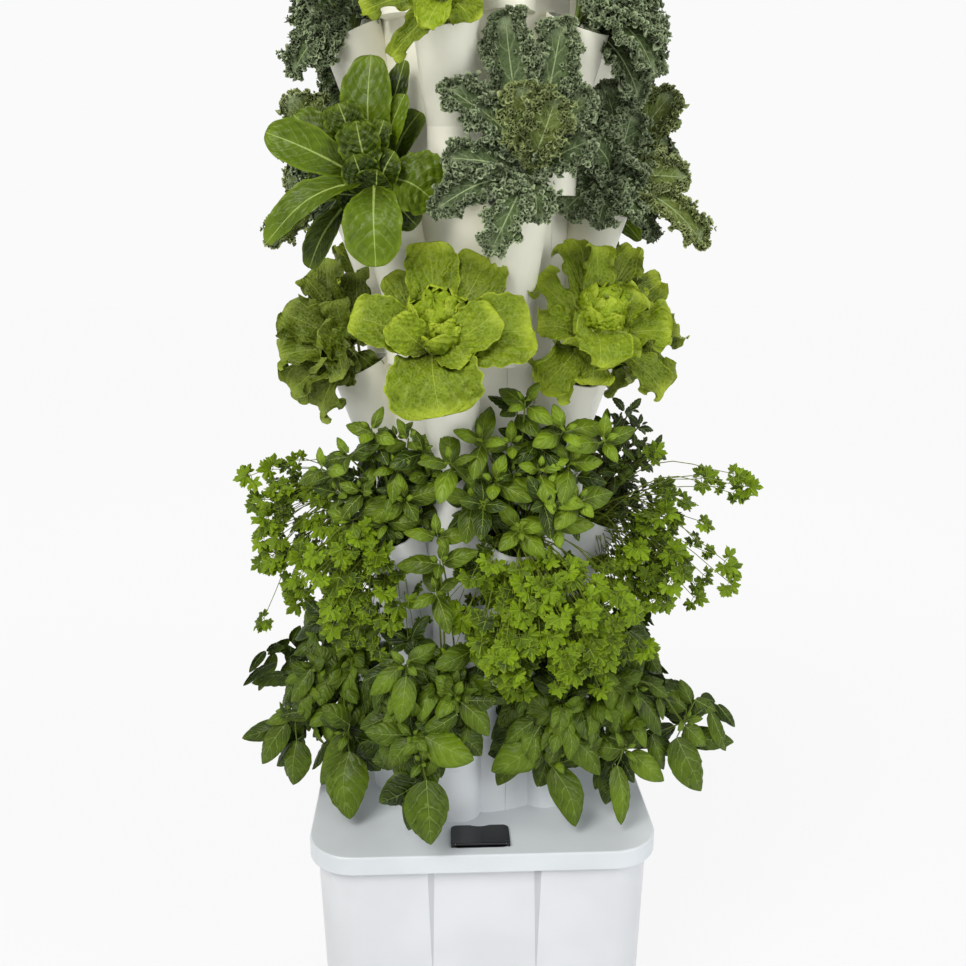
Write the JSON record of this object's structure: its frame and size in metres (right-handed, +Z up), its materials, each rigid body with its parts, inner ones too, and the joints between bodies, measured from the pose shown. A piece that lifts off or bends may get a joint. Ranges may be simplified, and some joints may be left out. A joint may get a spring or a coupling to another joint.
{
  "type": "vertical planter tower",
  "caption": "Vertical hydroponic planter tower: stacked fluted tiers with tilted pockets, net cups and leafy plants on a lidded square water tank with a pump inside",
  "frame": {"origin": "on the floor, on the tower's upright axis, under the middle of the tank", "axes": "+Z up the tower, -Y out of the front with the recessed panel and the fill hatch, +X to the right seen from the front"},
  "size_m": [0.676, 0.6638, 1.6935],
  "materials": {
    "tower_plastic": "smooth satin off-white moulded plastic",
    "tank_plastic": "smooth white moulded plastic, slightly cool",
    "lid_plastic": "smooth satin white moulded plastic",
    "black_gloss": "polished black",
    "black_matte": "fine matt black",
    "impeller_plastic": "plain moulded",
    "cup_plastic": "matt black net cup",
    "riser_plastic": "smooth white tube",
    "steel_pin": "plain drawn wire",
    "foot_rubber": "matt dark rubber",
    "seal_rubber": "soft matt rubber",
    "grow_medium": "dark fibrous growing sponge",
    "lettuce_leaf": "soft crinkled leaves",
    "kale_leaf": "frilled waxy leaves",
    "herb_leaf": "thin toothed leaves on pale stems",
    "basil_leaf": "glossy cupped leaves"
  },
  "bodies": {
    "tank": {"tank": "tank_plastic", "rubber_feet": "foot_rubber", "cable_grommet": "foot_rubber", "pump_body": "black_matte", "pump_cover": "black_matte", "pump_suction_feet": "foot_rubber", "riser_coupling": "seal_rubber"},
    "tower": {"tank_lid": "lid_plastic", "lid_gasket": "seal_rubber", "hatch_frame": "black_gloss", "hatch_hinge_pin": "steel_pin", "tower_socket": "tower_plastic", "riser_pipe": "riser_plastic", "riser_guide": "black_matte", "spray_head": "black_matte", "tier_1_half_a": "tower_plastic", "tier_1_half_b": "tower_plastic", "net_cups_tier_1": "cup_plastic", "grow_plugs_tier_1": "grow_medium", "plants_tier_1": "basil_leaf", "tier_2_half_a": "tower_plastic", "tier_2_half_b": "tower_plastic", "net_cups_tier_2": "cup_plastic", "grow_plugs_tier_2": "grow_medium", "plants_tier_2": "herb_leaf", "tier_3_half_a": "tower_plastic", "tier_3_half_b": "tower_plastic", "net_cups_tier_3": "cup_plastic", "grow_plugs_tier_3": "grow_medium", "plants_tier_3": "lettuce_leaf", "tier_4_half_a": "tower_plastic", "tier_4_half_b": "tower_plastic", "net_cups_tier_4": "cup_plastic", "grow_plugs_tier_4": "grow_medium", "plants_tier_4": "kale_leaf", "tier_5_half_a": "tower_plastic", "tier_5_half_b": "tower_plastic", "net_cups_tier_5": "cup_plastic", "grow_plugs_tier_5": "grow_medium", "plants_tier_5": "kale_leaf", "tier_6_half_a": "tower_plastic", "tier_6_half_b": "tower_plastic"},
    "hatch": {"fill_hatch": "black_gloss"},
    "cap": {"top_cap": "tower_plastic"},
    "impeller": {"pump_impeller": "impeller_plastic"},
    "flow_knob": {"pump_flow_knob": "black_gloss"},
    "planted_cup_1": {"net_cup_6_1": "cup_plastic", "plug_and_plant_6_1": "lettuce_leaf"},
    "planted_cup_2": {"net_cup_6_2": "cup_plastic", "plug_and_plant_6_2": "kale_leaf"},
    "planted_cup_3": {"net_cup_6_3": "cup_plastic", "plug_and_plant_6_3": "lettuce_leaf"},
    "planted_cup_4": {"net_cup_6_4": "cup_plastic", "plug_and_plant_6_4": "lettuce_leaf"},
    "planted_cup_5": {"net_cup_6_5": "cup_plastic", "plug_and_plant_6_5": "kale_leaf"},
    "planted_cup_6": {"net_cup_6_6": "cup_plastic", "plug_and_plant_6_6": "lettuce_leaf"}
  },
  "joints": [
    {"name": "tower_lift", "type": "slide", "parent": "tank", "child": "tower", "axis": [0, 0, 1], "range_m": [0, 0.12]},
    {"name": "hatch_hinge", "type": "hinge", "parent": "tower", "child": "hatch", "pos_m": [-0.0045, -0.2042, 0.3344], "axis": [1, 0, 0], "range_deg": [0, 100]},
    {"name": "cap_lift", "type": "slide", "parent": "tower", "child": "cap", "axis": [0, 0, 1], "range_m": [0, 0.06]},
    {"name": "impeller_spin", "type": "hinge", "parent": "tank", "child": "impeller", "pos_m": [0, -0.017, 0.054], "axis": [0, 1, 0], "continuous": true},
    {"name": "flow_knob_turn", "type": "hinge", "parent": "tank", "child": "flow_knob", "pos_m": [0.014, -0.039, 0.054], "axis": [0, 1, 0], "range_deg": [0, 120]},
    {"name": "planted_cup_1_lift", "type": "slide", "parent": "tower", "child": "planted_cup_1", "axis": [0.1094, -0.4082, 0.9063], "range_m": [0, 0.07]},
    {"name": "planted_cup_2_lift", "type": "slide", "parent": "tower", "child": "planted_cup_2", "axis": [0.4082, -0.1094, 0.9063], "range_m": [0, 0.07]},
    {"name": "planted_cup_3_lift", "type": "slide", "parent": "tower", "child": "planted_cup_3", "axis": [0.2988, 0.2988, 0.9063], "range_m": [0, 0.07]},
    {"name": "planted_cup_4_lift", "type": "slide", "parent": "tower", "child": "planted_cup_4", "axis": [-0.1094, 0.4082, 0.9063], "range_m": [0, 0.07]},
    {"name": "planted_cup_5_lift", "type": "slide", "parent": "tower", "child": "planted_cup_5", "axis": [-0.4082, 0.1094, 0.9063], "range_m": [0, 0.07]},
    {"name": "planted_cup_6_lift", "type": "slide", "parent": "tower", "child": "planted_cup_6", "axis": [-0.2988, -0.2988, 0.9063], "range_m": [0, 0.07]}
  ]
}
